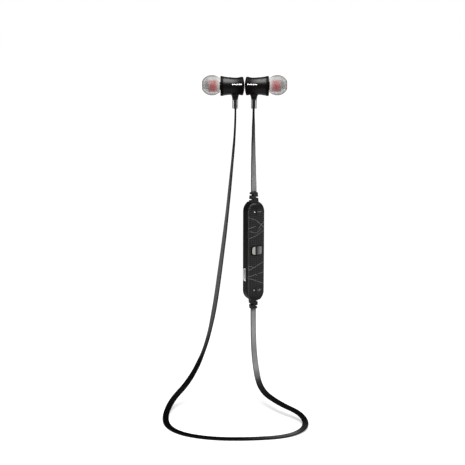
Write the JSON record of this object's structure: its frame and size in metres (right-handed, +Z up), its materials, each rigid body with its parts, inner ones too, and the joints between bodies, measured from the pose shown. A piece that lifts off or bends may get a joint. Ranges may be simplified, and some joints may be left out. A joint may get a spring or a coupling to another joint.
{
  "type": "neckband earphones",
  "caption": "Wireless earphones on a flat cable, with magnetic clasp buds, silicone ear tips and an in-line remote.",
  "frame": {"origin": "the point where the backs of the two clasped buds meet, on their common axis; the pair is held up there", "axes": "+X towards the right bud's tip, +Z up along the hanging cables, -Y the side that the remote's buttons face"},
  "size_m": [0.0892, 0.0732, 0.2122],
  "materials": {
    "housing_black": "satin black anodised, fine turned grooves",
    "ring_black": "gloss",
    "stem_black": "satin",
    "sleeve_clear": "translucent smoke-grey",
    "tip_silicone": "translucent silicone",
    "tip_core_red": "matte silicone",
    "cable_grey": "matte dark grey, flat section",
    "remote_case": "fine matte",
    "remote_front": "fine matte",
    "key_plastic": "fine matte",
    "button_metal": "bright satin metal",
    "relief_rubber": "matte",
    "socket_metal": "bright",
    "socket_plastic": "matte",
    "mesh_metal": "fine woven mesh",
    "magnet_metal": "nickel plated",
    "driver_plastic": "matte",
    "coil_copper": "enamelled copper wire",
    "diaphragm_film": "thin film",
    "board_green": "solder mask",
    "battery_foil": "pouch foil",
    "chip_black": "moulded",
    "switch_metal": "stamped",
    "light_pipe": "frosted"
  },
  "bodies": {
    "left_bud_and_remote": {"left_back_cap": "housing_black", "left_clasp_magnet": "magnet_metal", "left_housing_shell": "housing_black", "left_front_cap": "ring_black", "left_nozzle_mesh": "mesh_metal", "left_driver_frame": "driver_plastic", "left_driver_magnet": "magnet_metal", "left_voice_coil": "coil_copper", "left_diaphragm": "diaphragm_film", "left_stem": "stem_black", "left_cable_sleeve": "sleeve_clear", "remote_case_back": "remote_case", "remote_front_cover": "remote_front", "usb_socket_shell": "socket_metal", "usb_socket_tongue": "socket_plastic", "circuit_board": "board_green", "battery": "battery_foil", "bluetooth_chip": "chip_black", "microphone": "mesh_metal", "indicator_light": "light_pipe", "main_switch": "switch_metal", "minus_switch": "switch_metal", "plus_switch": "switch_metal", "upper_relief": "relief_rubber", "lower_relief": "relief_rubber", "long_cable": "cable_grey"},
    "right_bud": {"right_back_cap": "housing_black", "right_clasp_magnet": "magnet_metal", "right_housing_shell": "housing_black", "right_front_cap": "ring_black", "right_nozzle_mesh": "mesh_metal", "right_driver_frame": "driver_plastic", "right_driver_magnet": "magnet_metal", "right_voice_coil": "coil_copper", "right_diaphragm": "diaphragm_film", "right_stem": "stem_black", "right_cable_sleeve": "sleeve_clear", "short_cable": "cable_grey"},
    "left_tip": {"left_tip_core": "tip_core_red", "left_tip_bulb": "tip_silicone"},
    "right_tip": {"right_tip_core": "tip_core_red", "right_tip_bulb": "tip_silicone"},
    "main_button": {"main_button": "button_metal"},
    "volume_minus_key": {"volume_minus_key": "key_plastic"},
    "volume_plus_key": {"volume_plus_key": "key_plastic"}
  },
  "joints": [
    {"name": "clasp_opening", "type": "hinge", "parent": "left_bud_and_remote", "child": "right_bud", "pos_m": [0.006, 0, -0.06564], "axis": [0, 1, 0], "range_deg": [0, 60]},
    {"name": "left_tip_pull", "type": "slide", "parent": "left_bud_and_remote", "child": "left_tip", "axis": [-1, 0, 0], "range_m": [0, 0.008]},
    {"name": "right_tip_pull", "type": "slide", "parent": "right_bud", "child": "right_tip", "axis": [1, 0, 0], "range_m": [0, 0.008]},
    {"name": "main_button_press", "type": "slide", "parent": "left_bud_and_remote", "child": "main_button", "axis": [-0.4226, 0.9063, 0], "range_m": [0, 0.0004], "stiffness_N_per_m": 80, "springref_m": -0.003},
    {"name": "volume_minus_press", "type": "slide", "parent": "left_bud_and_remote", "child": "volume_minus_key", "axis": [-0.4226, 0.9063, 0], "range_m": [0, 0.0003], "stiffness_N_per_m": 80, "springref_m": -0.003},
    {"name": "volume_plus_press", "type": "slide", "parent": "left_bud_and_remote", "child": "volume_plus_key", "axis": [-0.4226, 0.9063, 0], "range_m": [0, 0.0003], "stiffness_N_per_m": 80, "springref_m": -0.003}
  ]
}
